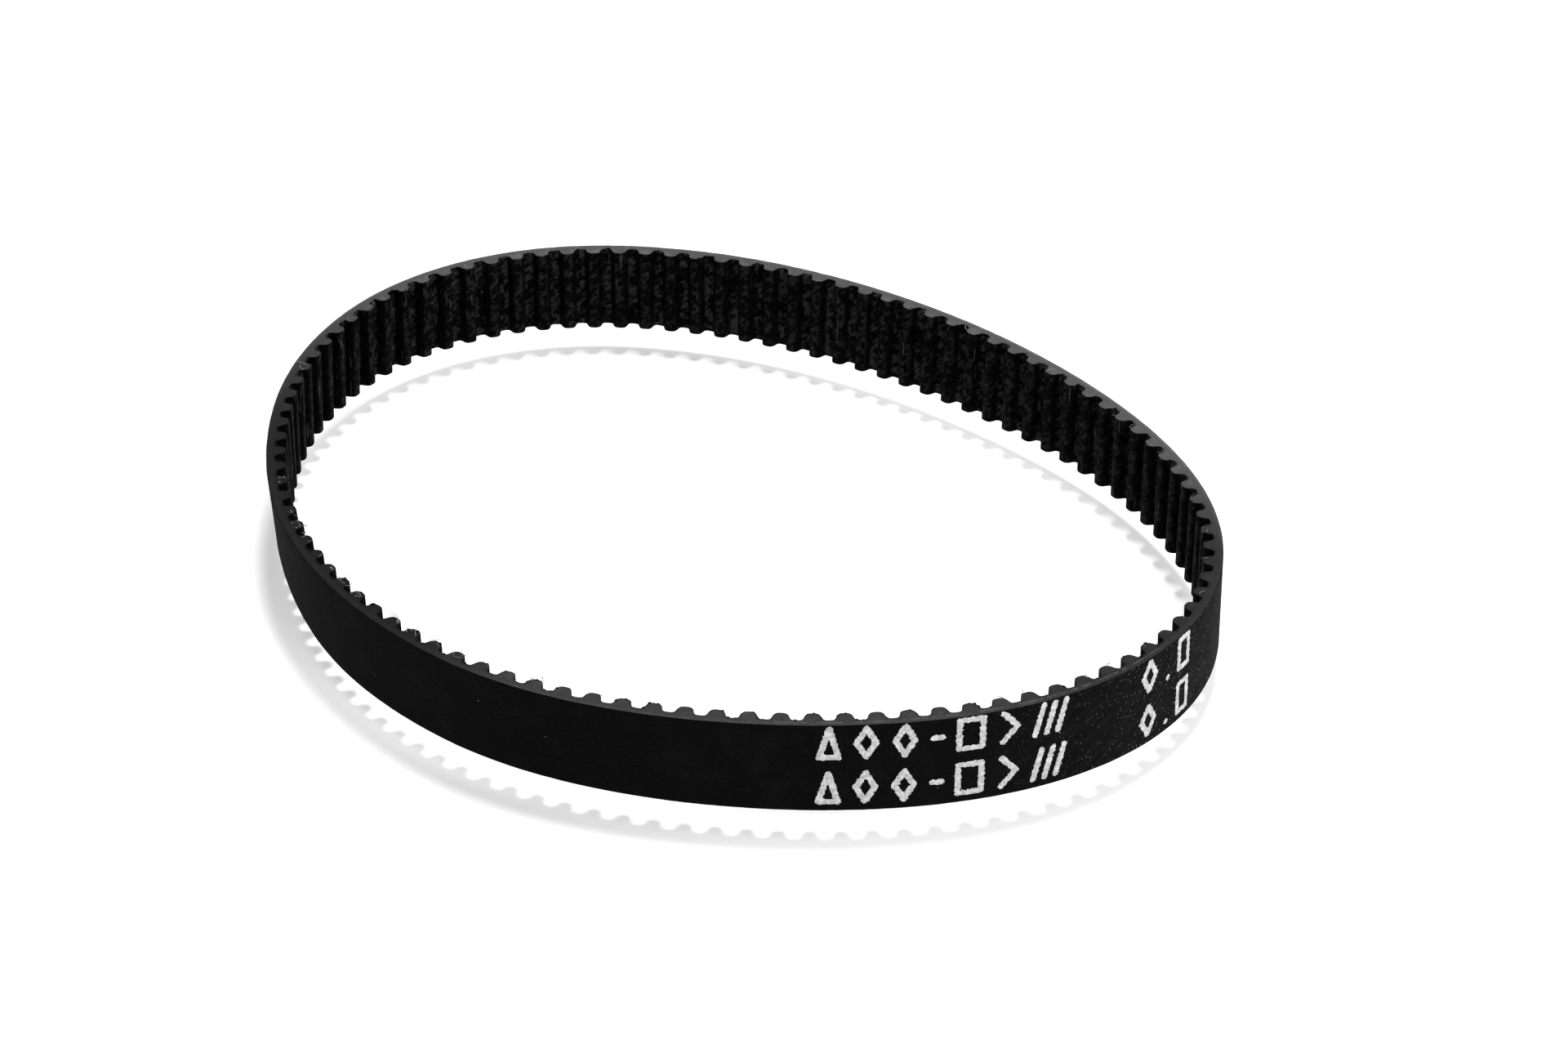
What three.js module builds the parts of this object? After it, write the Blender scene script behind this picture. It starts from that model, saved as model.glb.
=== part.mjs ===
// A small endless timing belt, standing on its cut edge as a loose, slightly egg-shaped loop.
// The loop is cut at thirteen tooth spaces into rigid spans that turn on one another about
// upright axes on the cord line, and each span is four bonded layers, outside to inside:
// rubber backing, tension cords, tooth rubber and woven tooth facing.
// Millimetres and radians, +Z up, +X along the loop's long axis, the floor at Z = 0.

import * as THREE from "three";

// The belt.
const PITCH = 2; // tooth to tooth, measured along the cord line
const TEETH = 100;
const WIDTH = 6.5;
const TOOTH_HEIGHT = 0.76;
const TOOTH_BASE = 1.3; // width of a tooth at its root, and the radius of its flanks
const TIP_CHAMFER = 0.16; // how much a flank's rounded corner takes off the tip
const CORD_TO_BACK = 0.346;
const CORD_TO_LAND = 0.254; // to the bottom of the tooth spaces
const CORD_RADIUS = 0.11;
const FACING_THICKNESS = 0.09;

// Clearances between separate solids.
const LAYER_GAP = 0.015;
const SPAN_GAP = 0.16; // between the ends of two spans, so that they can turn

// The loop's shape: how far its tangent runs ahead of a circle's, as harmonics once round.
const OVAL = 0.178;
const EGG = 0.081;
const EGG_PHASE = THREE.MathUtils.degToRad(-82);
const SQUARENESS = 0.038;

// The joints, counted in teeth from the open one. The turning is spread over the loop's four
// bends, three joints to a bend, and the belt between two bends doesn't bend at all.
const BEND = TEETH / 4;
const JOINTS_IN_BEND = [6, 12, 19];
const OPEN_JOINT_ANGLE = THREE.MathUtils.degToRad(135); // where the count starts on the loop

const LENGTH = PITCH * TEETH;
const STEPS_PER_TOOTH = 40;
const STEPS = TEETH * STEPS_PER_TOOTH;

const LAYERS = {
  backing: { color: 0x121212, roughness: 0.62 },
  tension_cords: { color: 0xb9b39c, roughness: 0.55 },
  tooth_rubber: { color: 0x1b1b1c, roughness: 0.7 },
  tooth_facing: { color: 0x26272a, roughness: 0.5 },
};

// The cord line as a closed curve of LENGTH: a point and the outward direction at each step.
function cordLine() {
  let cosine = 0;
  let sine = 0;
  const tangent = (step) => {
    const turn = (2 * Math.PI * step) / STEPS + OPEN_JOINT_ANGLE;
    const shape = OVAL * Math.sin(2 * turn) + EGG * Math.sin(3 * turn + EGG_PHASE) + SQUARENESS * Math.sin(4 * turn);
    return turn + Math.PI / 2 + shape + cosine * Math.cos(turn) + sine * Math.sin(turn);
  };
  const mean = (f) => {
    let sum = 0;
    for (let step = 0; step < STEPS; step += 1) sum += f(tangent(step + 0.5));
    return sum / STEPS;
  };
  // The first harmonic is whatever brings the curve back to its start.
  for (let pass = 0; pass < 12; pass += 1) {
    const east = mean(Math.cos);
    const north = mean(Math.sin);
    cosine += 2 * east;
    sine += 2 * north;
  }
  const line = [];
  const at = new THREE.Vector2();
  for (let step = 0; step <= STEPS; step += 1) {
    const here = tangent(step);
    line.push({ point: at.clone(), outward: new THREE.Vector2(Math.sin(here), -Math.cos(here)) });
    const ahead = tangent(step + 0.5);
    at.x += (Math.cos(ahead) * LENGTH) / STEPS;
    at.y += (Math.sin(ahead) * LENGTH) / STEPS;
  }
  // Centre it: the origin is under the middle of the belt's own bounding box.
  const box = new THREE.Box2();
  for (const { point, outward } of line) box.expandByPoint(point.clone().addScaledVector(outward, CORD_TO_BACK));
  const centre = box.getCenter(new THREE.Vector2());
  for (const { point } of line) point.sub(centre);
  return line;
}

const CORD_LINE = cordLine();

// The point at a length along the cord line, moved outward from it.
function place(along, outward) {
  const step = (along / LENGTH) * STEPS;
  const low = Math.min(Math.floor(step), STEPS - 1);
  const part = step - low;
  const [a, b] = [CORD_LINE[low], CORD_LINE[low + 1]];
  const point = a.point.clone().lerp(b.point, part);
  const direction = a.outward.clone().lerp(b.outward, part).normalize();
  return point.addScaledVector(direction, outward);
}

// Half of a tooth as [along, outward] points from its root to its tip, inset by a layer.
function halfTooth(inset, parts) {
  const land = -(CORD_TO_LAND - inset);
  const height = TOOTH_HEIGHT;
  const points = [];
  for (const share of parts) {
    const rise = share * height;
    const flank = Math.sqrt(TOOTH_BASE ** 2 - rise ** 2) - TOOTH_BASE / 2;
    const corner = share === 1 ? TIP_CHAMFER : 0;
    points.push([flank - inset - corner, land - rise]);
  }
  return points;
}

// The toothed surface between two joints, as [along, outward] points.
function toothSurface(firstTooth, lastTooth, inset, parts) {
  const half = halfTooth(inset, parts);
  const points = [[firstTooth * PITCH + SPAN_GAP / 2, -(CORD_TO_LAND - inset)]];
  for (let tooth = firstTooth; tooth < lastTooth; tooth += 1) {
    const middle = (tooth + 0.5) * PITCH;
    for (const [along, outward] of half) points.push([middle - along, outward]);
    for (const [along, outward] of [...half].reverse()) points.push([middle + along, outward]);
  }
  points.push([lastTooth * PITCH - SPAN_GAP / 2, -(CORD_TO_LAND - inset)]);
  return points;
}

// A smooth surface at one distance from the cord line, stepped at each land and tooth middle.
function smoothSurface(firstTooth, lastTooth, outward) {
  const points = [[firstTooth * PITCH + SPAN_GAP / 2, outward]];
  for (let half = 2 * firstTooth + 1; half < 2 * lastTooth; half += 1) points.push([(half * PITCH) / 2, outward]);
  points.push([lastTooth * PITCH - SPAN_GAP / 2, outward]);
  return points;
}

const FACING_STEPS = [0, 0.36, 0.66, 0.88, 1];
const LINING_STEPS = [0, 0.62, 1];

const LAYER_SURFACES = {
  backing: (a, b) => [
    smoothSurface(a, b, CORD_TO_BACK),
    smoothSurface(a, b, CORD_RADIUS + LAYER_GAP),
  ],
  tension_cords: (a, b) => [
    smoothSurface(a, b, CORD_RADIUS),
    smoothSurface(a, b, -CORD_RADIUS),
  ],
  tooth_rubber: (a, b) => [
    smoothSurface(a, b, -CORD_RADIUS - LAYER_GAP),
    toothSurface(a, b, FACING_THICKNESS + LAYER_GAP, LINING_STEPS),
  ],
  tooth_facing: (a, b) => [
    toothSurface(a, b, FACING_THICKNESS, LINING_STEPS),
    toothSurface(a, b, 0, FACING_STEPS),
  ],
};

function layerSolid(layer, firstTooth, lastTooth) {
  const [outer, inner] = LAYER_SURFACES[layer](firstTooth, lastTooth);
  const outline = [...outer, ...inner.reverse()].map(([along, outward]) => place(along, outward));
  const shape = new THREE.Shape(outline);
  return new THREE.ExtrudeGeometry(shape, { depth: WIDTH, bevelEnabled: false });
}

// The teeth at which the loop is cut, from the open joint round to it again.
function jointTeeth() {
  const cuts = [0];
  for (let bend = 0; bend < 4; bend += 1) {
    for (const tooth of JOINTS_IN_BEND) cuts.push(bend * BEND + tooth);
  }
  return [...cuts, TEETH];
}

const belt = new THREE.Group();
const cuts = jointTeeth();
const materials = {};
for (const [layer, look] of Object.entries(LAYERS)) {
  materials[layer] = new THREE.MeshStandardMaterial({ ...look, metalness: 0 });
}
for (let span = 1; span < cuts.length; span += 1) {
  for (const layer of Object.keys(LAYERS)) {
    const mesh = new THREE.Mesh(layerSolid(layer, cuts[span - 1], cuts[span]), materials[layer]);
    mesh.name = `${layer}_${String(span).padStart(2, "0")}`;
    belt.add(mesh);
  }
}

export default belt;
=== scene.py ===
import math

import bpy
import numpy as np
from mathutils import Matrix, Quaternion, Vector


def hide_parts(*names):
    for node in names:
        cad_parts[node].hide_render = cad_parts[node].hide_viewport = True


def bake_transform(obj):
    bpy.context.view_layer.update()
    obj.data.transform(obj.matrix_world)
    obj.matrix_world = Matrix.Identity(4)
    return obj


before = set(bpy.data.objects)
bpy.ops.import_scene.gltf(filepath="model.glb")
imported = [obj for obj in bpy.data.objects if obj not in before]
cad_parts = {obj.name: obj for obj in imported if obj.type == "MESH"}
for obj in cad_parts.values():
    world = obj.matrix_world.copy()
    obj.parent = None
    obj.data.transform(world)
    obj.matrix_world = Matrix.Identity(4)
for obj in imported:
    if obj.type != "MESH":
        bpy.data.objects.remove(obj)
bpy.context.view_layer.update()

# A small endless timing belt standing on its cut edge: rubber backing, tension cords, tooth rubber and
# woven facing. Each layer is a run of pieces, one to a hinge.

MM = 0.001

# The belt, in millimetres. The tooth base and the gap between layers are smaller than the
# frame's: rounding the form widens the base, and the gap only parts the skins.
PITCH = 2.0
TEETH = 100
WIDTH = 6.5
LENGTH = PITCH * TEETH
TOOTH_HEIGHT = 0.76
TOOTH_BASE = 1.2
FLANK_RADIUS = 1.3
CORD_TO_BACK = 0.346
CORD_TO_LAND = 0.254
CORD_RADIUS = 0.11
FACING_THICKNESS = 0.09
LAYER_GAP = 0.002

# The loop's shape, as harmonics of its tangent's lead over a circle's.
OVAL = 0.178
EGG = 0.081
EGG_PHASE = math.radians(-82)
SQUARENESS = 0.038

# How the loop, standing on its edge, warps from that even shape, in millimetres.
SWELL = 0.204
LEAN = 0.136
BUMPS = (  # along, reach, swell outward, lean outward at the bottom
    (9, 8, 0.13, 0.0),
    (30, 8, -0.17, 0.0),
    (54, 9, 0.15, -0.24),
    (72, 6, -0.12, 0.0),
    (116, 10, 0.0, -0.08),
    (160, 9, 0.07, 0.12),
)
OPEN_JOINT_ANGLE = math.radians(135)

# Where the spans meet, in teeth from the open joint.
BEND = TEETH // 4
JOINT_TEETH = [bend * BEND + tooth for bend in range(4) for tooth in (6, 12, 19)]
SPAN_TEETH = [0, *JOINT_TEETH, TEETH]
BEND_REACH = 7.0  # the most that a stretch's start and end lie from its hinge, along the belt

BACKING = "backing"
CORDS = "tension_cords"
TOOTH_RUBBER = "tooth_rubber"
FACING = "tooth_facing"


# ---------------------------------------------------------------- camera

CAMERA_AZIMUTH = math.radians(38.69)
CAMERA_ELEVATION = math.radians(32.2)
CAMERA_ROLL = math.radians(0.67)
CAMERA_DISTANCE = 0.2472
CAMERA_TARGET = Vector((0.00389, 0.00292, 0.00267))
CAMERA_LENS = 82.0


def make_camera():
    camera = bpy.data.objects.new("camera", bpy.data.cameras.new("camera"))
    bpy.context.scene.collection.objects.link(camera)
    level = math.cos(CAMERA_ELEVATION)
    back = Vector((
        math.sin(CAMERA_AZIMUTH) * level,
        -math.cos(CAMERA_AZIMUTH) * level,
        math.sin(CAMERA_ELEVATION),
    ))
    camera.location = CAMERA_TARGET + back * CAMERA_DISTANCE
    camera.rotation_mode = "QUATERNION"
    level_view = (-back).to_track_quat("-Z", "Y")
    camera.rotation_quaternion = level_view @ Quaternion((0, 0, 1), CAMERA_ROLL)
    camera.data.lens = CAMERA_LENS
    camera.data.sensor_width = 36
    camera.data.clip_start = 0.01
    camera.data.clip_end = 10
    bpy.context.scene.camera = camera


make_camera()


# ---------------------------------------------------------------- the belt's line

STEPS = TEETH * 80


def cord_line():
    """The cord line as a closed curve of LENGTH: points and outward directions, in millimetres."""
    cosine = sine = 0.0

    def tangent(step):
        turn = 2 * math.pi * step / STEPS + OPEN_JOINT_ANGLE
        shape = (
            OVAL * np.sin(2 * turn)
            + EGG * np.sin(3 * turn + EGG_PHASE)
            + SQUARENESS * np.sin(4 * turn)
        )
        return turn + math.pi / 2 + shape + cosine * np.cos(turn) + sine * np.sin(turn)

    middles = np.arange(STEPS) + 0.5
    for _ in range(12):
        ahead = tangent(middles)
        east, north = np.cos(ahead).mean(), np.sin(ahead).mean()
        cosine += 2 * east
        sine += 2 * north
    ahead = tangent(middles)
    step = LENGTH / STEPS
    points = np.zeros((STEPS + 1, 2))
    points[1:, 0] = np.cumsum(np.cos(ahead)) * step
    points[1:, 1] = np.cumsum(np.sin(ahead)) * step
    here = tangent(np.arange(STEPS + 1))
    outward = np.stack([np.sin(here), -np.cos(here)], 1)
    outer = points + outward * CORD_TO_BACK
    points -= (outer.min(0) + outer.max(0)) / 2
    return points, outward


LINE_POINTS, LINE_OUTWARD = cord_line()


def warp(along, height):
    """How far outward the standing loop swells and leans from its even shape."""
    around = np.asarray(along, float) % LENGTH
    turn = 4 * math.pi * around / LENGTH
    swell, lean = SWELL * np.cos(turn), LEAN * np.sin(turn)
    for middle, reach, bump_swell, bump_lean in BUMPS:
        bump = np.exp(-(((around - middle) / reach) ** 2))
        swell, lean = swell + bump_swell * bump, lean + bump_lean * bump
    return swell + (1 - 2 * height / WIDTH) * lean


def place(along, outward, height):
    """Points of the row frame, in metres, from a length along the belt, a distance outward from
    the cord line and a height, all in millimetres."""
    step = np.asarray(along, float) % LENGTH / LENGTH * STEPS
    grid = np.arange(STEPS + 1)
    point = np.stack([np.interp(step, grid, LINE_POINTS[:, axis]) for axis in (0, 1)], -1)
    normal = np.stack([np.interp(step, grid, LINE_OUTWARD[:, axis]) for axis in (0, 1)], -1)
    flat = point + normal * np.asarray(outward + warp(along, height), float)[..., None]
    return np.concatenate([flat, np.broadcast_to(height, flat.shape[:-1])[..., None]], -1) * MM


def wobble(along, seed, finest=0.8, waves=24):
    """A smooth uneven value about -1 to 1 that closes on itself round the loop."""
    source = np.random.default_rng(seed)
    turns = source.integers(3, int(LENGTH / finest), waves)
    phases = source.uniform(0, 2 * math.pi, waves)
    angle = np.asarray(along)[..., None] / LENGTH * 2 * math.pi
    return np.sin(angle * turns + phases).sum(-1) / math.sqrt(waves)


# ---------------------------------------------------------------- the tooth form

PROFILE_STEP = 0.03
PROFILE_ROUNDING = 0.18


def pitch_profile():
    """One pitch of the toothed surface from land middle to land middle: along and depth below
    the land, with the corners rounded, and the length of it measured along the surface."""
    rise = np.linspace(0, TOOTH_HEIGHT, 60)
    flank = np.sqrt(FLANK_RADIUS**2 - rise**2) - FLANK_RADIUS + TOOTH_BASE / 2
    corners = [(-PITCH / 2, 0.0)]
    corners += list(zip(-flank, rise))
    corners += list(zip(flank[::-1], rise[::-1]))
    corners += [(PITCH / 2, 0.0)]
    raw = np.array(corners)
    run = np.r_[0, np.cumsum(np.hypot(*np.diff(raw, axis=0).T))]
    fine = np.linspace(0, run[-1], 1201)
    curve = np.stack([np.interp(fine, run, raw[:, axis]) for axis in (0, 1)], 1)
    spacing = fine[1]
    reach = int(3 * PROFILE_ROUNDING / spacing)
    weights = np.exp(-0.5 * (np.arange(-reach, reach + 1) * spacing / PROFILE_ROUNDING) ** 2)
    weights /= weights.sum()
    before = curve[-reach - 1:-1] - [PITCH, 0]
    after = curve[1:reach + 1] + [PITCH, 0]
    padded = np.concatenate([before, curve, after])
    smooth = np.stack([np.convolve(padded[:, axis], weights, "valid") for axis in (0, 1)], 1)
    smooth[:, 1] -= smooth[0, 1]
    smooth[:, 1] *= TOOTH_HEIGHT / smooth[:, 1].max()
    length = np.r_[0, np.cumsum(np.hypot(*np.diff(smooth, axis=0).T))]
    count = 2 * int(round(length[-1] / PROFILE_STEP / 2))  # even, so one point is the tip's middle
    even = np.linspace(0, length[-1], count + 1)
    profile = np.stack([np.interp(even, length, smooth[:, axis]) for axis in (0, 1)], 1)
    return profile, length[-1]


PROFILE, PROFILE_LENGTH = pitch_profile()


def toothed_surface(first, last, inset):
    """The toothed surface between two lengths along the belt, moved into the belt by inset:
    arrays of along, outward and the length measured over the teeth."""
    tangent = np.gradient(PROFILE, axis=0)
    tangent /= np.hypot(*tangent.T)[:, None]
    inward = np.stack([tangent[:, 1], -tangent[:, 0]], 1)
    moved = PROFILE + inward * inset
    surface_run = np.linspace(0, PROFILE_LENGTH, len(PROFILE))
    rows = []
    for tooth in range(int(first // PITCH), int(math.ceil(last / PITCH))):
        middle = (tooth + 0.5) * PITCH
        for k in range(len(moved) - 1):
            along = middle + moved[k, 0]
            nominal = middle + PROFILE[k, 0]
            if first - 1e-6 <= nominal <= last + 1e-6:
                run = tooth * PROFILE_LENGTH + surface_run[k]
                rows.append((along, -CORD_TO_LAND - moved[k, 1], run))
    rows.append(end_row(last, moved, surface_run))
    return np.array(rows).T


def end_row(last, moved, surface_run):
    """The last station of a toothed surface, at a land's middle or a tooth's middle."""
    tooth = int(math.ceil(last / PITCH)) - 1
    offset = last - (tooth + 0.5) * PITCH
    k = int(np.argmin(abs(PROFILE[:, 0] - offset)))
    return last, -CORD_TO_LAND - moved[k, 1], tooth * PROFILE_LENGTH + surface_run[k]


# ---------------------------------------------------------------- meshes

SMOOTH_STEP = 0.2  # between the stations of a layer without teeth
OUTER, INNER = 0, 1
LOWER, UPPER = 0, 1


class Surface:
    """A surface of a layer: its stations' length along the belt, distance outward from the cord
    line, and the coordinate that materials read along it."""

    def __init__(self, along, outward, run):
        self.along, self.outward, self.run = along, outward, run


def smooth_surface(first, last, outward):
    count = int(round((last - first) / SMOOTH_STEP))
    along = np.linspace(first, last, count + 1)
    return Surface(along, np.full_like(along, outward), along)


def corner(side, radius, edge):
    """Ring columns round a corner, from the cut edge to the surface: each is the surface, the
    depth under it, the cut edge's share of the height, and a step away from that edge."""
    columns = []
    for turn in np.linspace(0, math.pi / 2, 4):
        depth = radius * (1 - math.sin(turn))
        step = radius * (1 - math.cos(turn))
        columns.append((side, depth, edge, step if edge == LOWER else -step))
    return columns


def rows(side, radius, count):
    """Ring columns up a surface between its two rounded corners, without their ends."""
    shares = np.linspace(0, 1, count + 2)[1:-1]
    return [(side, 0.0, share, radius * (1 - 2 * share)) for share in shares]


def plain(side):
    return [(side, 0.0, LOWER, 0.0), (side, 0.0, UPPER, 0.0)]


def rounded(side, radius, count):
    """Ring columns up a whole surface with rounded edges."""
    up = corner(side, radius, LOWER) + rows(side, radius, count)
    return up + corner(side, radius, UPPER)[::-1]


def layer_piece(name, surfaces, columns, lower, upper, materials):
    """A closed skin between two surfaces. columns go up the outer surface and down the inner
    one, lower and upper are the two cut edges' heights at each station, and the cut edges
    take the second material."""
    stations = len(surfaces[OUTER].along)
    points = np.zeros((stations, len(columns), 3))
    belt = np.zeros_like(points)
    for j, (side, depth, share, step) in enumerate(columns):
        surface = surfaces[side]
        sunk = surface.outward + (depth if side == INNER else -depth)
        height = lower * (1 - share) + upper * share + step
        points[:, j] = place(surface.along, sunk, height)
        belt[:, j] = np.stack([surface.run, sunk, height], -1)
    around = len(columns)
    cut_columns = set()
    for j, (side, _, share, _) in enumerate(columns):
        next_side, _, next_share, _ = columns[(j + 1) % around]
        if side != next_side and share == next_share:
            cut_columns.add(j)
    crisp_columns = cut_columns | {(j + 1) % around for j in cut_columns}
    faces, cut = [], []
    for i in range(stations - 1):
        for j in range(around):
            a, b = i * around + j, i * around + (j + 1) % around
            faces.append((b, a, a + around, b + around))
            cut.append(int(j in cut_columns))
    faces.append(tuple(range(around)))
    faces.append(tuple((stations - 1) * around + j for j in reversed(range(around))))
    mesh = bpy.data.meshes.new(name)
    mesh.from_pydata(points.reshape(-1, 3).tolist(), [], faces)
    mesh.polygons.foreach_set("use_smooth", [True] * len(faces))
    mesh.polygons.foreach_set("material_index", cut + [1, 1])
    sharp = np.zeros(len(mesh.edges), bool)
    for edge in mesh.edges:
        a, b = edge.vertices
        along_crisp = a % around == b % around and a % around in crisp_columns
        at_end = a // around == b // around and a // around in (0, stations - 1)
        sharp[edge.index] = along_crisp or at_end
    mesh.attributes.new("sharp_edge", "BOOLEAN", "EDGE").data.foreach_set("value", sharp)
    stored = mesh.attributes.new("belt", "FLOAT_VECTOR", "POINT")
    stored.data.foreach_set("vector", belt.reshape(-1).astype(np.float32))
    for material in materials:
        mesh.materials.append(material)
    piece = bpy.data.objects.new(name, mesh)
    bpy.context.scene.collection.objects.link(piece)
    return piece


# ---------------------------------------------------------------- materials

CUT_TONE = (0.117, 0.117, 0.118)
TOOTH_CUT_TONE = (0.096, 0.096, 0.097)
FACING_CUT_TONE = (0.075, 0.075, 0.076)

# Painted light and shade on the cut edges along the belt: lighter on the far stretches as a painted
# grazing highlight, darker on the near ones as painted shade. From, to, change.
PAINTED_CUT_LIGHT = ((16, 48, -0.88), (72, 84, 0.36), (106, 124, -0.22), (136, 152, 0.74))

DUSTY_AND_LIT_STRETCH = ((106, 130), (140, 152))  # where the streaked stretch of the back comes in and goes: part dust and streaks, part painted light from the right side

STRAND_MEETS_UPPER = 111.0  # where along the belt each cut edge runs into a strand
STRAND_MEETS_LOWER = 31.0
STRAND_BARE = 20.0  # how far to each side it lies bare

THREADS_PER_PITCH = 4  # round the tooth form
THREAD_SPACING = 0.55  # up the width

# Painted shade: one flank of each tooth, the one turned from the light, is painted nearly black. Which
# one changes at these two places.
SHADED_FLANK_CHANGES = ((90, 110), (184.5, 185.5))
WEAKER_FLANK_SHADE = 0.78  # how dark it is between them, where 1 is as dark as elsewhere


class Shader:
    """A material whose nodes are made by short calls. Values are numbers or sockets."""

    def __init__(self, name):
        self.material = bpy.data.materials.new(name)
        self.material.use_nodes = True
        self.tree = self.material.node_tree
        self.surface = self.tree.nodes["Principled BSDF"]
        self.belt = self.node("ShaderNodeAttribute", attribute_name="belt").outputs["Vector"]
        split = self.node("ShaderNodeSeparateXYZ", {"Vector": self.belt})
        self.run, self.outward, self.height = split.outputs

    def node(self, kind, inputs=None, **settings):
        made = self.tree.nodes.new(kind)
        for key, value in settings.items():
            setattr(made, key, value)
        for key, value in (inputs or {}).items():
            self.give(made.inputs[key], value)
        return made

    def give(self, socket, value):
        if isinstance(value, bpy.types.NodeSocket):
            self.tree.links.new(value, socket)
        else:
            socket.default_value = value

    def set(self, **inputs):
        for key, value in inputs.items():
            self.give(self.surface.inputs[key.replace("_", " ")], value)

    def math(self, operation, a, b=0.0):
        made = self.node("ShaderNodeMath", operation=operation)
        self.give(made.inputs[0], a)
        self.give(made.inputs[1], b)
        return made.outputs[0]

    def stretched(self, x, y, z):
        """The belt coordinates, each multiplied by its own number."""
        made = self.node("ShaderNodeVectorMath", operation="MULTIPLY")
        self.give(made.inputs[0], self.belt)
        made.inputs[1].default_value = (x, y, z)
        return made.outputs[0]

    def noise(self, scale, detail=3.0, roughness=0.6, at=None):
        inputs = {"Vector": at or self.belt, "Scale": scale, "Detail": detail, "Roughness": roughness}
        return self.node("ShaderNodeTexNoise", inputs).outputs["Fac"]

    def between(self, value, low, high, to_low=0.0, to_high=1.0):
        """value from low to high becomes to_low to to_high, smoothly and held past both ends."""
        names = ("Value", "From Min", "From Max", "To Min", "To Max")
        inputs = dict(zip(names, (value, low, high, to_low, to_high)))
        made = self.node("ShaderNodeMapRange", inputs, interpolation_type="SMOOTHSTEP")
        return made.outputs["Result"]

    def mix(self, share, a, b):
        made = self.node("ShaderNodeMix", data_type="RGBA")
        self.give(made.inputs["Factor"], share)
        self.give(made.inputs[6], (*a, 1) if isinstance(a, tuple) else a)
        self.give(made.inputs[7], (*b, 1) if isinstance(b, tuple) else b)
        return made.outputs[2]

    def bump(self, height, depth, strength=1.0):
        """Relief of a depth in millimetres."""
        inputs = {"Height": height, "Distance": depth * MM, "Strength": strength}
        return self.node("ShaderNodeBump", inputs).outputs["Normal"]

    def specks(self, spacing, size, share):
        """1 on small scattered specks. share of the cells hold one."""
        cell = self.node("ShaderNodeTexVoronoi", {"Vector": self.belt, "Scale": 1 / spacing})
        chosen = self.node("ShaderNodeSeparateColor", {"Color": cell.outputs["Color"]}).outputs[0]
        near = self.between(cell.outputs["Distance"], size / spacing * 0.7, size / spacing, 1, 0)
        return self.math("MULTIPLY", near, self.math("LESS_THAN", chosen, share))


def backing_material():
    """Ground chloroprene rubber: near black, with faint ribs over the teeth and light dust, and a
    streaked stretch painted lighter, part dust and part painted light.
    """
    s = Shader("ground_backing")
    grain = s.noise(11, 5, 0.7)
    peel = s.noise(2.6, 4, 0.65)
    cloud = s.noise(0.35, 2)
    ribs = s.math("SINE", s.math("MULTIPLY", s.run, 2 * math.pi / PITCH))
    slant = s.node("ShaderNodeVectorRotate", {"Vector": s.belt, "Angle": 0.62}, rotation_type="Y_AXIS")
    drawn_out = s.node("ShaderNodeVectorMath", operation="MULTIPLY")
    s.give(drawn_out.inputs[0], slant.outputs[0])
    drawn_out.inputs[1].default_value = (0.8, 1, 9)
    scratches = s.noise(1, 3, 0.6, drawn_out.outputs[0])
    comes_in, goes = DUSTY_AND_LIT_STRETCH
    dusty_and_lit = s.math("MULTIPLY", s.between(s.run, *comes_in), s.between(s.run, *goes, 1, 0))
    dust = s.specks(0.8, 0.045, 0.12)
    fine_dust = s.math("MULTIPLY", s.specks(0.24, 0.05, 0.7), s.between(dusty_and_lit, 0, 1, 0.06, 1))
    dark = s.mix(s.between(grain, 0.35, 0.7), (0.002, 0.002, 0.0021), (0.008, 0.008, 0.0082))
    clouded = s.mix(s.between(cloud, 0.45, 0.7, 0, 0.4), dark, (0.010, 0.010, 0.0103))
    # the streaked, dusty stretch is also painted lighter as painted light from the right side
    streaks = s.math("MULTIPLY", dusty_and_lit, s.between(scratches, 0.40, 0.66, 0.05, 0.45))
    streaked = s.mix(streaks, clouded, (0.034, 0.034, 0.035))
    all_dust = s.math("MAXIMUM", dust, s.math("MULTIPLY", fine_dust, 0.5))
    dusty = s.mix(all_dust, streaked, (0.3, 0.3, 0.305))
    s.set(Base_Color=dusty, Roughness=s.between(grain, 0.3, 0.7, 0.6, 0.8))
    s.set(Specular_IOR_Level=0.04)
    relief = s.math("ADD", grain, s.math("MULTIPLY", scratches, 0.5))
    relief = s.math("ADD", relief, s.math("MULTIPLY", ribs, 0.25))
    relief = s.math("ADD", relief, s.math("MULTIPLY", peel, 2.5))
    s.set(Normal=s.bump(relief, 0.025, 0.9))
    return s.material


def cut_rubber_material(name, tone, run_scale=1.0):
    """The knife-cut edge: charcoal, finely torn, with a little chalky dust. run_scale turns the
    coordinate that the layer carries into length along the belt."""
    s = Shader(name)
    along = s.math("MULTIPLY", s.run, run_scale)
    torn = s.noise(14, 5, 0.75)
    drag = s.noise(1, 3, 0.6, s.stretched(1.6, 16, 1))
    patches = s.noise(0.9, 3)
    dust = s.specks(0.22, 0.02, 0.12)
    base = s.mix(s.between(torn, 0.3, 0.75), tuple(0.55 * c for c in tone), tuple(1.5 * c for c in tone))
    worn = s.mix(s.between(patches, 0.45, 0.75, 0, 0.45), base, tuple(1.9 * c for c in tone))
    # painted light and shade: the cut's colour is lightened and darkened along the belt
    shaded = s.mix(painted_cut_light(s, along), (0, 0, 0), worn)
    s.set(Base_Color=s.mix(s.math("MULTIPLY", dust, 0.6), shaded, (0.3, 0.3, 0.3)), Roughness=0.78)
    s.set(Specular_IOR_Level=0.25)
    s.set(Normal=s.bump(s.math("ADD", torn, s.math("MULTIPLY", drag, 0.6)), 0.03, 0.8))
    return s.material


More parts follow.
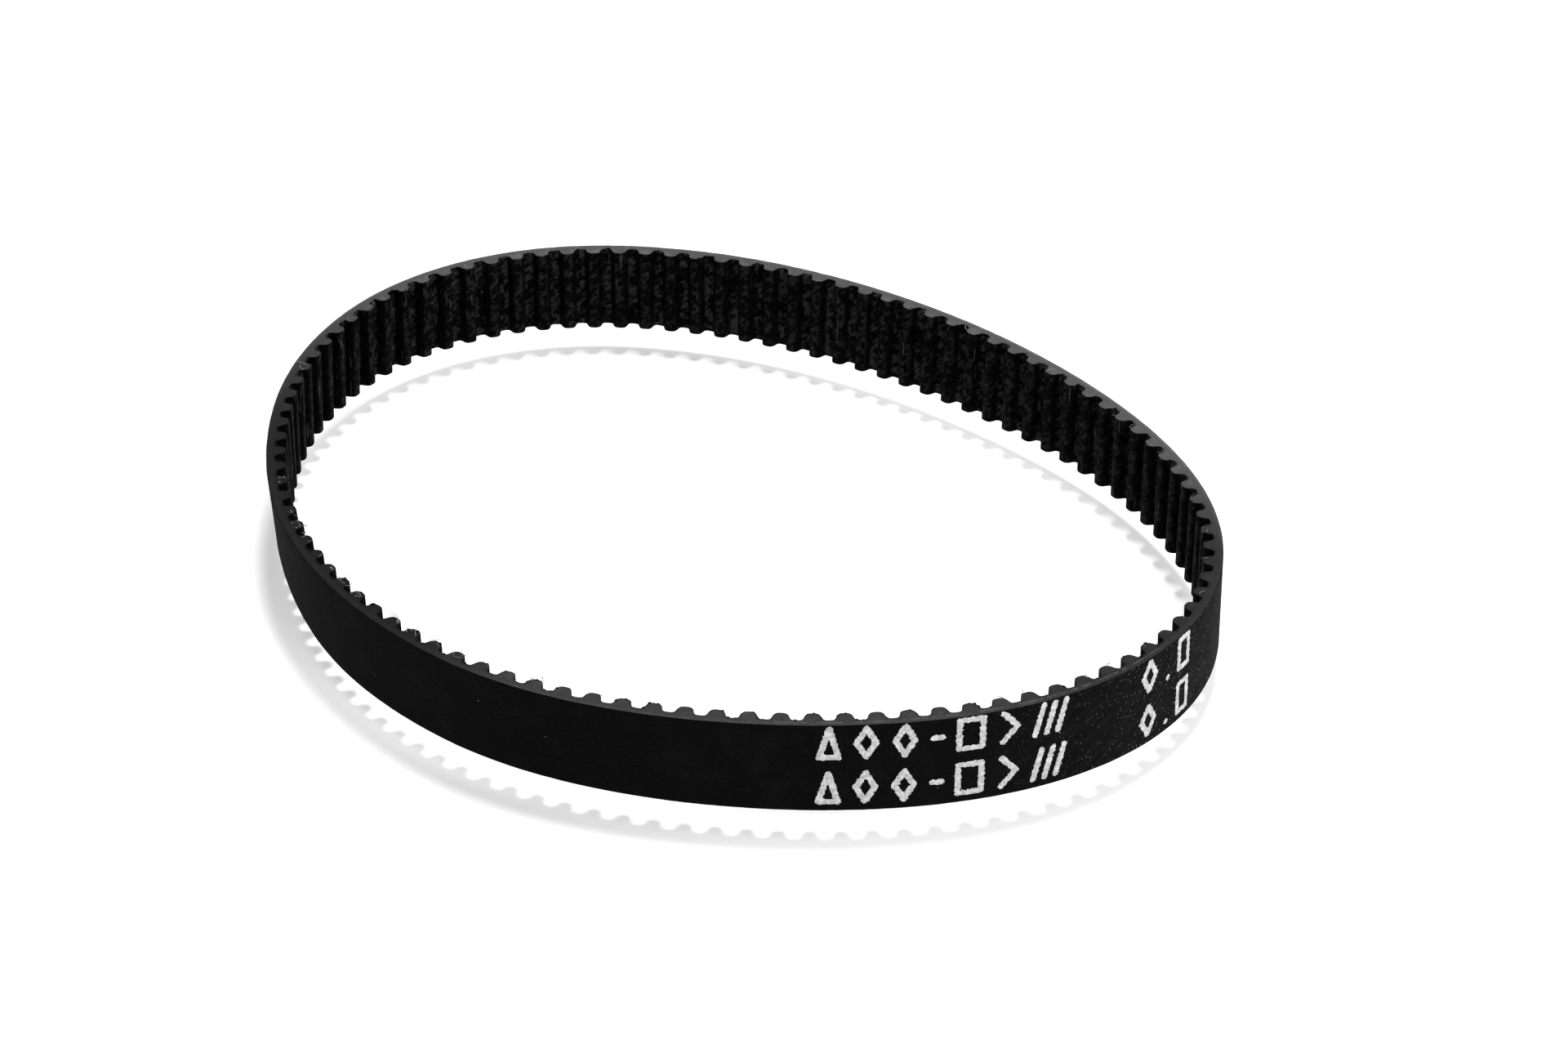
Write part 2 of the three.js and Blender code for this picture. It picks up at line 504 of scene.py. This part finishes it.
def painted_cut_light(s, along):
    """Painted light and shade on the cut along the belt, as a share of its tone at the open joint."""
    first, last, change = PAINTED_CUT_LIGHT[0]
    light = s.between(along, first, last, 1, 1 + change)
    for first, last, change in PAINTED_CUT_LIGHT[1:]:
        light = s.math("ADD", light, s.between(along, first, last, 0, change))
    return light


def cord_material():
    """The edge of the cord layer: rubber, and the outermost strand where the cut runs into it."""
    s = Shader("cut_cord_line")
    torn = s.noise(12, 4, 0.7)
    upper = s.math("GREATER_THAN", s.height, WIDTH / 2)
    to_upper = s.math("MULTIPLY", upper, STRAND_MEETS_UPPER - STRAND_MEETS_LOWER)
    middle = s.math("ADD", to_upper, STRAND_MEETS_LOWER)
    away = s.math("ABSOLUTE", s.math("SUBTRACT", s.run, middle))
    bared = s.between(away, STRAND_BARE * 0.4, STRAND_BARE, 1, 0)
    uneven = s.noise(0.7, 4, 0.7, s.stretched(1, 0, 0))
    bared = s.math("MULTIPLY", bared, s.between(uneven, 0.44, 0.56))
    half = s.math("MULTIPLY", bared, CORD_RADIUS * 0.8)
    strand = s.math("LESS_THAN", s.math("ABSOLUTE", s.outward), half)
    slope = s.math("ADD", s.math("MULTIPLY", s.run, 26.0), s.math("MULTIPLY", s.outward, 38.0))
    twist = s.math("SINE", slope)
    fibre = s.mix(s.between(twist, -0.8, 0.8), (0.05, 0.048, 0.046), (0.16, 0.155, 0.15))
    fibre = s.mix(s.between(torn, 0.35, 0.65, 0, 0.8), fibre, (0.06, 0.055, 0.05))
    rubber = s.mix(s.between(torn, 0.3, 0.7), (0.045, 0.045, 0.045), (0.125, 0.125, 0.125))
    # the same painted light and shade along the belt as on the other cut edges
    rubber = s.mix(painted_cut_light(s, s.run), (0, 0, 0), rubber)
    s.set(Base_Color=s.mix(strand, rubber, fibre), Roughness=0.7, Specular_IOR_Level=0.3)
    relief = s.math("ADD", torn, s.math("MULTIPLY", s.math("MULTIPLY", strand, twist), 0.4))
    s.set(Normal=s.bump(relief, 0.025, 0.8))
    return s.material


def facing_material():
    """Woven nylon: knobbly black threads, painted paler in the lands than on the tooth tips as painted
    light, with one flank of each tooth painted nearly black and the other darker as painted shade, as it
    looks from the camera's side."""
    s = Shader("woven_facing")
    uneven = s.math("MULTIPLY", s.noise(1.1, 4, 0.65), 9.0)
    warp = s.math("MULTIPLY", s.run, 2 * math.pi * THREADS_PER_PITCH / PROFILE_LENGTH)
    weft = s.math("MULTIPLY", s.height, 2 * math.pi / THREAD_SPACING)
    ridges = s.math("SINE", s.math("ADD", s.math("ADD", warp, weft), uneven))
    crossings = s.math("SINE", s.math("SUBTRACT", s.math("MULTIPLY", weft, 2.0), warp))
    knots = s.between(s.noise(1.8, 3, 0.55), 0.35, 0.65, -1, 1)
    weave = s.math("ADD", s.math("MULTIPLY", ridges, 0.3), s.math("MULTIPLY", crossings, 0.2))
    weave = s.math("ADD", weave, s.math("MULTIPLY", knots, 0.75))
    fuzz = s.noise(12, 4, 0.75)
    blotches = s.noise(1, 4, 0.65, s.stretched(2.4, 2.4, 1.5))
    once_round = s.math("MULTIPLY", s.run, 2 * math.pi / PROFILE_LENGTH)
    land = s.between(s.math("COSINE", once_round), 0.3, 0.75)
    raised = s.between(weave, -0.3, 0.75)
    # painted light: the lands are painted paler than the tips to lift the shade that lies in them
    on_tip = s.mix(raised, (0.001, 0.001, 0.001), (0.027, 0.027, 0.0275))
    lit_land = s.mix(raised, (0.002, 0.002, 0.002), (0.050, 0.050, 0.051))
    thread = s.mix(land, on_tip, lit_land)
    along = s.math("MULTIPLY", s.run, PITCH / PROFILE_LENGTH)
    first_change, second_change = SHADED_FLANK_CHANGES
    side = s.between(along, *first_change, -1, WEAKER_FLANK_SHADE)
    side = s.math("ADD", side, s.between(along, *second_change, 0, -1 - WEAKER_FLANK_SHADE))
    flank = s.math("MULTIPLY", s.math("SINE", once_round), side)
    # painted shade on the tooth flanks: one nearly black, the other darker
    thread = s.mix(s.between(flank, 0.5, 0.85, 0, 0.96), thread, (0.0004, 0.0004, 0.0004))
    thread = s.mix(s.between(flank, -0.9, -0.5, 0.85, 0), thread, (0.001, 0.001, 0.001))
    patchy = s.mix(s.between(blotches, 0.4, 0.58, 0.55, 1.0), (0.001, 0.001, 0.001), thread)
    cloth = s.mix(s.between(blotches, 0.56, 0.66, 0.0, 0.35), patchy, (0.024, 0.024, 0.0245))
    rubbed = s.between(s.noise(1, 3, 0.55, s.stretched(3.4, 3.4, 0.42)), 0.65, 0.71)
    cloth = s.mix(s.math("MULTIPLY", rubbed, 0.5), cloth, (0.09, 0.09, 0.09))
    lint_specks = s.specks(0.5, 0.03, 0.05)
    s.set(Base_Color=s.mix(s.math("MULTIPLY", lint_specks, 0.6), cloth, (0.4, 0.4, 0.4)))
    s.set(Roughness=s.between(fuzz, 0.3, 0.7, 0.45, 0.7), Specular_IOR_Level=0.03)
    s.set(Sheen_Weight=0.003, Sheen_Roughness=0.5)
    relief = s.math("ADD", weave, s.math("MULTIPLY", fuzz, 1.2))
    s.set(Normal=s.bump(relief, 0.05, 1.0))
    return s.material


def ink_material():
    s = Shader("white_ink")
    pores = s.noise(9, 4, 0.7)
    coverage = s.noise(2.2, 3)
    thin = s.between(s.math("ADD", pores, s.math("MULTIPLY", coverage, 0.5)), 0.5, 0.72)
    blotches = s.between(s.noise(3.5, 4, 0.7), 0.4, 0.62)
    white = s.mix(blotches, (0.38, 0.38, 0.38), (0.54, 0.54, 0.54))
    s.set(Base_Color=s.mix(thin, (0.2, 0.2, 0.2), white), Roughness=0.6)
    s.set(Specular_IOR_Level=0.3, Normal=s.bump(pores, 0.012, 0.8))
    return s.material


def lint_material():
    s = Shader("lint")
    s.set(Base_Color=s.mix(s.noise(20, 2), (0.08, 0.08, 0.08), (0.42, 0.41, 0.40)), Roughness=0.6)
    return s.material


backing_skin = backing_material()
backing_cut = cut_rubber_material("cut_backing", CUT_TONE)
tooth_cut = cut_rubber_material("cut_tooth_rubber", TOOTH_CUT_TONE)
facing_skin = facing_material()
facing_cut = cut_rubber_material("cut_facing", FACING_CUT_TONE, PITCH / PROFILE_LENGTH)
cord_cut = cord_material()
ink = ink_material()
lint = lint_material()


# ---------------------------------------------------------------- the four layers

BACK_EDGE_ROUND = 0.035
FACING_EDGE_ROUND = 0.02
CUT_UNEVEN = 0.012  # how far the cut edges wander up and down
BACK_UNEVEN = 0.004  # how far the ground back wanders in and out
FRAY_HEIGHT = 0.09
OPEN_GAP = 0.02  # between the two ends at the open joint


def lower_edge(along):
    return CUT_UNEVEN * (1 + np.clip(wobble(along, 5), -1, 1)) / 2


def upper_edge(along):
    return WIDTH - CUT_UNEVEN * (1 + np.clip(wobble(along, 6), -1, 1)) / 2


def backing_surfaces(first, last):
    outer = smooth_surface(first, last, CORD_TO_BACK)
    outer.outward = outer.outward + BACK_UNEVEN * wobble(outer.along, 7, 2.5)
    return outer, smooth_surface(first, last, CORD_RADIUS + LAYER_GAP)


def cord_surfaces(first, last):
    return smooth_surface(first, last, CORD_RADIUS), smooth_surface(first, last, -CORD_RADIUS)


def tooth_rubber_surfaces(first, last):
    inner = Surface(*toothed_surface(first, last, FACING_THICKNESS + LAYER_GAP))
    outer = Surface(inner.along, np.full_like(inner.along, -CORD_RADIUS - LAYER_GAP), inner.along)
    return outer, Surface(inner.along, inner.outward, inner.along)


def facing_surfaces(first, last):
    inner = Surface(*toothed_surface(first, last, 0.0))
    outer = Surface(*toothed_surface(first, last, FACING_THICKNESS))
    return outer, inner


def fray(run, seed):
    """How far threads of the facing stand past the cut, here and there."""
    return FRAY_HEIGHT * np.clip(wobble(run, seed, 0.35, 40) - 0.55, 0, 1)


def down(columns):
    return columns[::-1]


LAYERS = {
    BACKING: (
        backing_surfaces,
        rounded(OUTER, BACK_EDGE_ROUND, 9) + down(plain(INNER)),
        [backing_skin, backing_cut],
    ),
    CORDS: (cord_surfaces, plain(OUTER) + down(plain(INNER)), [cord_cut, cord_cut]),
    TOOTH_RUBBER: (
        tooth_rubber_surfaces,
        plain(OUTER) + down(plain(INNER)),
        [tooth_cut, tooth_cut],
    ),
    FACING: (
        facing_surfaces,
        plain(OUTER) + down(rounded(INNER, FACING_EDGE_ROUND, 5)),
        [facing_skin, facing_cut],
    ),
}


class Bend:
    """One hinge's stretch of belt: the two spans it joins, and the middle of each, between
    which its pieces lie. The first stretch starts at the open joint, and the last one ends
    OPEN_GAP short of it."""

    def __init__(self, number):
        self.number = number
        self.hinge = SPAN_TEETH[number] * PITCH
        self.first = self.middle_of_span(number) if number > 1 else 0.0
        is_last = number == len(JOINT_TEETH)
        self.last = LENGTH - OPEN_GAP if is_last else self.middle_of_span(number + 1)
        self.bodies = f"span_{number:02d}", f"span_{number + 1:02d}"
        self.start = max(self.middle_of_span(number), self.hinge - BEND_REACH)
        self.end = min(self.middle_of_span(number + 1), self.hinge + BEND_REACH)

    @staticmethod
    def middle_of_span(span):
        return (SPAN_TEETH[span - 1] + SPAN_TEETH[span]) / 2 * PITCH

    def bend(self, piece):
        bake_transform(piece)


BENDS = [Bend(number) for number in range(1, len(JOINT_TEETH) + 1)]

for bend in BENDS:
    for layer, (surfaces_of, columns, materials) in LAYERS.items():
        surfaces = surfaces_of(bend.first, bend.last)
        along = surfaces[OUTER].along
        lower, upper = lower_edge(along), upper_edge(along)
        if layer == FACING:
            upper = upper + fray(surfaces[INNER].run, 8)
        name = f"{layer}_skin_{bend.number:02d}"
        piece = layer_piece(name, surfaces, columns, lower, upper, materials)
        bend.bend(piece)
        replaced = [f"{layer}_{bend.number:02d}"]
        if bend is BENDS[-1]:
            replaced.append(f"{layer}_{bend.number + 1:02d}")
        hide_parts(*replaced)


# ---------------------------------------------------------------- printed marks

CELL = 0.05
INK_UNDERSIDE = CORD_TO_BACK + 0.007
INK_TOP = CORD_TO_BACK + 0.018
STROKE = 0.2  # half a stroke's width
RAGGED = 0.03
ROW_HEIGHTS = (1.78, 5.16)
MARK_HALF_HEIGHT = 1.27
RAGGED_WAVES = 14

# Plain generic shapes, as strokes between corners given in shares of a mark's half size.
BOX = [[(-1, -1), (1, -1), (1, 1), (-1, 1), (-1, -1)]]
DIAMOND = [[(0, -1), (1, 0), (0, 1), (-1, 0), (0, -1)]]
DASH = [[(-1, 0), (1, 0)]]
DOT = [[(0, -0.98), (0, -0.98)]]
CHEVRON = [[(-0.8, -1), (0.8, 0), (-0.8, 1)]]
TRIANGLE = [[(-1, -1), (1, -1), (0, 1), (-1, -1)]]
BARS = [[(-1, -1), (-0.5, 1)], [(-0.25, -1), (0.25, 1)], [(0.5, -1), (1, 1)]]

# Each mark's middle along the belt, its half width and its shape.
MARKS = [
    (102.0, 0.80, TRIANGLE),
    (104.3, 0.80, DIAMOND),
    (106.7, 0.80, DIAMOND),
    (108.75, 0.48, DASH),
    (110.85, 0.95, BOX),
    (113.4, 0.80, CHEVRON),
    (116.15, 1.25, BARS),
    (124.1, 0.80, DIAMOND),
    (126.0, 0.24, DOT),
    (127.85, 0.77, BOX),
]


def distance_to_strokes(along, height, strokes):
    nearest = np.full(along.shape, np.inf)
    for corners in strokes:
        for (x0, y0), (x1, y1) in zip(corners, corners[1:]):
            dx, dy = x1 - x0, y1 - y0
            share = ((along - x0) * dx + (height - y0) * dy) / max(dx * dx + dy * dy, 1e-9)
            share = np.clip(share, 0, 1)
            gap = np.hypot(along - x0 - share * dx, height - y0 - share * dy)
            nearest = np.minimum(nearest, gap)
    return nearest


def ragged(along, height):
    """An uneven value about -1 to 1 over the back, finer than a stroke."""
    source = np.random.default_rng(12)
    total = np.zeros(along.shape)
    for _ in range(RAGGED_WAVES):
        turn, phase = source.uniform(0, 2 * math.pi, 2)
        wave = 2 * math.pi / source.uniform(0.12, 0.5)
        total += np.sin(wave * (along * math.cos(turn) + height * math.sin(turn)) + phase)
    return total / math.sqrt(RAGGED_WAVES)


def mark_cells(middle, half_width, strokes, row):
    """The cells of the back that one mark inks, as whole cell numbers."""
    inked_half = half_width - STROKE, MARK_HALF_HEIGHT - STROKE
    scaled = [[(x * inked_half[0], y * inked_half[1]) for x, y in corners] for corners in strokes]
    reach = half_width + 0.1, MARK_HALF_HEIGHT + 0.1
    i = np.arange(int((middle - reach[0]) / CELL), int((middle + reach[0]) / CELL) + 1)
    j = np.arange(int((row - reach[1]) / CELL), int((row + reach[1]) / CELL) + 1)
    along, height = np.meshgrid((i + 0.5) * CELL, (j + 0.5) * CELL, indexing="ij")
    edge = distance_to_strokes(along - middle, height - row, scaled) - STROKE
    inked = edge + RAGGED * ragged(along, height) < 0
    return [(int(i[a]), int(j[b])) for a, b in zip(*np.nonzero(inked))]


def surface_object(name, points, belt, faces, material):
    mesh = bpy.data.meshes.new(name)
    mesh.from_pydata(np.asarray(points).tolist(), [], faces)
    mesh.materials.append(material)
    stored = mesh.attributes.new("belt", "FLOAT_VECTOR", "POINT")
    stored.data.foreach_set("vector", np.asarray(belt, np.float32).reshape(-1))
    made = bpy.data.objects.new(name, mesh)
    bpy.context.scene.collection.objects.link(made)
    return made


def printed_patch(name, cells):
    """A thin closed film over the inked cells."""
    inked = set(cells)
    numbers, belt, faces = {}, [], []

    def corner_number(i, j, level):
        key = i, j, level
        if key not in numbers:
            numbers[key] = len(belt)
            belt.append((i * CELL, (INK_UNDERSIDE, INK_TOP)[level], j * CELL))
        return numbers[key]

    for i, j in cells:
        square = [(i, j), (i + 1, j), (i + 1, j + 1), (i, j + 1)]
        faces.append([corner_number(*at, 1) for at in square])
        faces.append([corner_number(*at, 0) for at in reversed(square)])
        beside = [(i, j - 1), (i + 1, j), (i, j + 1), (i - 1, j)]
        for k, neighbour in enumerate(beside):
            if neighbour not in inked:
                a, b = square[k], square[(k + 1) % 4]
                faces.append([corner_number(*b, 1), corner_number(*a, 1)])
                faces[-1] += [corner_number(*a, 0), corner_number(*b, 0)]
    along, outward, height = np.array(belt).T
    return surface_object(name, place(along, outward, height), belt, faces, ink)


def bend_at(along):
    return next(bend for bend in BENDS if along <= bend.last)


def print_marks():
    for bend in BENDS:
        cells = []
        for middle, half_width, strokes in MARKS:
            if bend_at(middle) is bend:
                for row in ROW_HEIGHTS:
                    cells += mark_cells(middle, half_width, strokes, row)
        if cells:
            patch = printed_patch(f"printed_marks_{bend.number:02d}", sorted(set(cells)))
            bend.bend(patch)


print_marks()


# ---------------------------------------------------------------- lint

FIBRE_SIDES = 5
FIBRE_STEPS = 9
LINTY_STRETCH = (51, 84)  # along the belt
FIBRES_THERE = 52
FIBRES_ANYWHERE = 44
TOOTH_CORNER = 0.36  # from a tooth's middle, along the belt


def fibre(source, along, outward):
    """A short curled fibre standing on the upper cut edge: its rings in belt coordinates."""
    length = source.uniform(0.25, 0.9)
    radius = source.uniform(0.01, 0.024)
    heading = source.uniform(0, 2 * math.pi)
    curl = source.uniform(-8, 8)
    rise = source.uniform(0.1, 0.8)
    share = np.linspace(0, 1, FIBRE_STEPS)
    turn = heading + curl * share
    flat = length * math.cos(rise) / (FIBRE_STEPS - 1)
    x = along + np.cumsum(np.cos(turn)) * flat
    y = outward + np.cumsum(np.sin(turn)) * flat
    z = WIDTH - 0.02 + length * math.sin(rise) * share**0.8
    middle = np.stack([x, y, z], 1)
    ahead = np.gradient(middle, axis=0)
    ahead /= np.linalg.norm(ahead, axis=1)[:, None]
    side = np.cross(ahead, [0, 0, 1.0])
    side /= np.linalg.norm(side, axis=1)[:, None]
    other = np.cross(ahead, side)
    taper = radius * np.sqrt(np.clip(1 - share**6, 0.05, 1))
    around = np.arange(FIBRE_SIDES) / FIBRE_SIDES * 2 * math.pi
    ring = side[:, None] * np.cos(around)[:, None] + other[:, None] * np.sin(around)[:, None]
    return middle[:, None] + ring * taper[:, None, None]


def scatter_lint():
    """Fibres at tooth corners, most of them on the stretch that lies to the camera's left."""
    source = np.random.default_rng(21)
    places = list(source.uniform(*LINTY_STRETCH, FIBRES_THERE))
    places += list(source.uniform(0, LENGTH, FIBRES_ANYWHERE))
    rings_of = {}
    for along in places:
        tooth_middle = (math.floor(along / PITCH) + 0.5) * PITCH
        corner_along = tooth_middle + source.choice([-TOOTH_CORNER, TOOTH_CORNER])
        outward = -CORD_TO_LAND - TOOTH_HEIGHT * source.uniform(0.3, 0.95)
        bend = bend_at(corner_along)
        rings_of.setdefault(bend.number, []).append(fibre(source, corner_along, outward))
    for number, fibres in sorted(rings_of.items()):
        belt, faces = [], []
        for rings in fibres:
            base = len(belt)
            belt += rings.reshape(-1, 3).tolist()
            for i in range(FIBRE_STEPS - 1):
                for j in range(FIBRE_SIDES):
                    a = base + i * FIBRE_SIDES + j
                    b = base + i * FIBRE_SIDES + (j + 1) % FIBRE_SIDES
                    faces.append((a, b, b + FIBRE_SIDES, a + FIBRE_SIDES))
            faces.append([base + j for j in reversed(range(FIBRE_SIDES))])
            last = base + (FIBRE_STEPS - 1) * FIBRE_SIDES
            faces.append([last + j for j in range(FIBRE_SIDES)])
        along, outward, height = np.array(belt).T
        points = place(along, outward, height)
        BENDS[number - 1].bend(surface_object(f"lint_{number:02d}", points, belt, faces, lint))


scatter_lint()


# ---------------------------------------------------------------- stage and light

GLASS = 2.4 * MM  # the belt stands on clear glass this far above the white sheet
SHEET_HALF = 2.0
SHEET_WHITE = (0.9, 0.9, 0.9, 1)
SKY_STRENGTH = 0.7

# Each lamp: name, place as right, away and up from the camera's view in metres, width, power.
LAMPS = (
    ("overhead_lamp", (0.02, 0.03, 0.42), 0.08, 0.94),
    ("right_softbox", (0.42, -0.08, 0.2), 0.2, 0.85),
    ("front_softbox", (0.14, -0.36, 0.3), 0.24, 0.95),
)


def make_stage():
    mesh = bpy.data.meshes.new("white_sheet")
    half = SHEET_HALF
    corners = [(-half, -half), (half, -half), (half, half), (-half, half)]
    mesh.from_pydata([(x, y, -GLASS) for x, y in corners], [], [(0, 1, 2, 3)])
    sheet = bpy.data.objects.new("white_sheet", mesh)
    bpy.context.scene.collection.objects.link(sheet)
    material = bpy.data.materials.new("white_sheet")
    material.use_nodes = True
    surface = material.node_tree.nodes["Principled BSDF"]
    surface.inputs["Base Color"].default_value = SHEET_WHITE
    surface.inputs["Roughness"].default_value = 1
    surface.inputs["Specular IOR Level"].default_value = 0
    mesh.materials.append(material)


def area_light(name, position, size, power):
    """A round lamp that looks at the belt."""
    data = bpy.data.lights.new(name, "AREA")
    data.shape = "DISK"
    data.size = size
    data.energy = power
    light = bpy.data.objects.new(name, data)
    light.location = position
    light.rotation_mode = "QUATERNION"
    light.rotation_quaternion = (-position).to_track_quat("-Z", "Y")
    bpy.context.scene.collection.objects.link(light)


def make_world(strength):
    world = bpy.data.worlds.new("white")
    world.use_nodes = True
    background = world.node_tree.nodes["Background"]
    background.inputs["Color"].default_value = (1, 1, 1, 1)
    background.inputs["Strength"].default_value = strength
    bpy.context.scene.world = world


def from_camera(right, away, up):
    """A point in metres to the right of the belt, away from the camera, and up."""
    turn = CAMERA_AZIMUTH
    return Vector((
        right * math.cos(turn) - away * math.sin(turn),
        right * math.sin(turn) + away * math.cos(turn),
        up,
    ))


make_stage()
make_world(SKY_STRENGTH)
for name, position, size, power in LAMPS:
    area_light(name, from_camera(*position), size, power)
bpy.context.scene.view_settings.view_transform = "Standard"
bpy.context.scene.view_settings.look = "None"
bpy.context.scene.view_settings.gamma = 0.8
